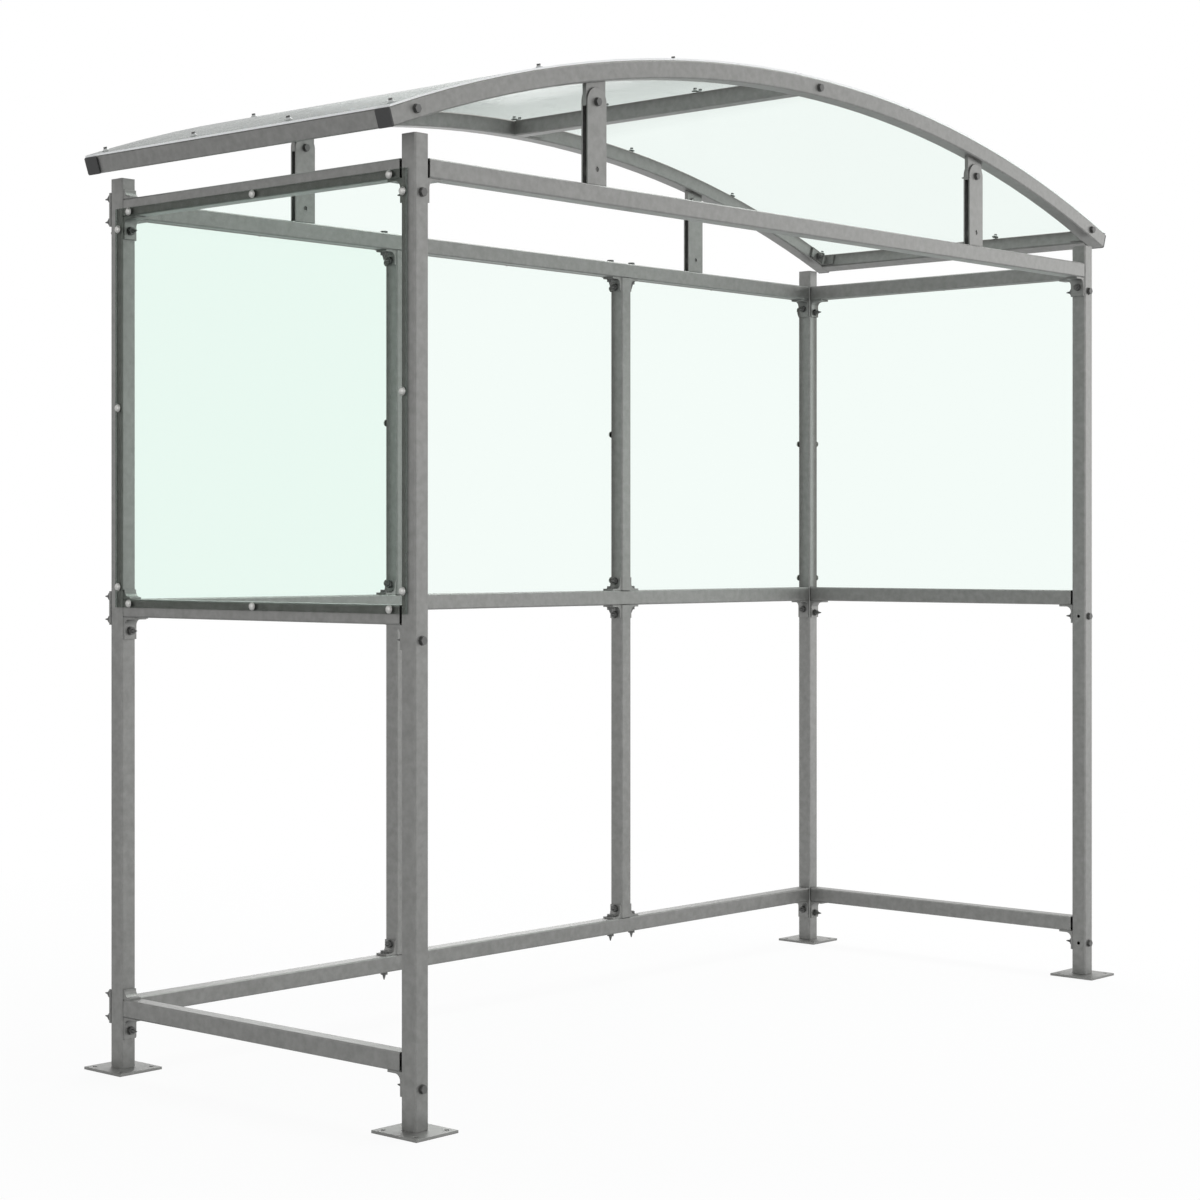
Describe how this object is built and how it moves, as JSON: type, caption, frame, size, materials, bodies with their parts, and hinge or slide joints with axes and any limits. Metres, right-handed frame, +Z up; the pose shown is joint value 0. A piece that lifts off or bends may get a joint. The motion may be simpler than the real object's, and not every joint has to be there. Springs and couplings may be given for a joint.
{
  "type": "smoking shelter",
  "caption": "Open-fronted shelter of galvanised square tube with clear sheets round the upper half and a curved clear roof on arches.",
  "frame": {"origin": "on the ground under the middle of the frame", "axes": "+X along the length, to the right as seen from the open front; +Y from the open front to the glazed back; +Z up"},
  "size_m": [2.8956, 1.024, 2.3038],
  "materials": {
    "galvanised_steel": "hot-dip galvanised square tube and flat bar, dull and faintly mottled",
    "clear_sheet": "clear plastic sheet with a faint green tint",
    "black_plastic": "black moulded tube caps"
  },
  "bodies": {
    "root": {"arch_end_caps": "black_plastic", "arch_hangers": "galvanised_steel", "crown_purlin": "galvanised_steel", "front_arch": "galvanised_steel", "front_left_base_plate": "galvanised_steel", "front_left_post": "galvanised_steel", "front_left_roof_strut": "galvanised_steel", "front_right_base_plate": "galvanised_steel", "front_right_post": "galvanised_steel", "front_right_roof_strut": "galvanised_steel", "front_top_rail": "galvanised_steel", "left_bottom_rail": "galvanised_steel", "left_middle_rail": "galvanised_steel", "left_panel": "clear_sheet", "left_purlin": "galvanised_steel", "left_rail_brackets": "galvanised_steel", "left_top_rail": "galvanised_steel", "long_rail_brackets": "galvanised_steel", "mullion_brackets": "galvanised_steel", "purlin_brackets": "galvanised_steel", "rear_arch": "galvanised_steel", "rear_bottom_rail": "galvanised_steel", "rear_centre_panel": "clear_sheet", "rear_left_back_plates": "galvanised_steel", "rear_left_base_plate": "galvanised_steel", "rear_left_lower_mullion": "galvanised_steel", "rear_left_panel": "clear_sheet", "rear_left_post": "galvanised_steel", "rear_left_roof_strut": "galvanised_steel", "rear_left_upper_mullion": "galvanised_steel", "rear_middle_rail": "galvanised_steel", "rear_right_base_plate": "galvanised_steel", "rear_right_lower_mullion": "galvanised_steel", "rear_right_panel": "clear_sheet", "rear_right_post": "galvanised_steel", "rear_right_roof_strut": "galvanised_steel", "rear_right_upper_mullion": "galvanised_steel", "rear_top_rail": "galvanised_steel", "right_bottom_rail": "galvanised_steel", "right_middle_rail": "galvanised_steel", "right_panel": "clear_sheet", "right_purlin": "galvanised_steel", "right_rail_brackets": "galvanised_steel", "right_top_rail": "galvanised_steel", "roof_sheet": "clear_sheet"}
  },
  "joints": []
}
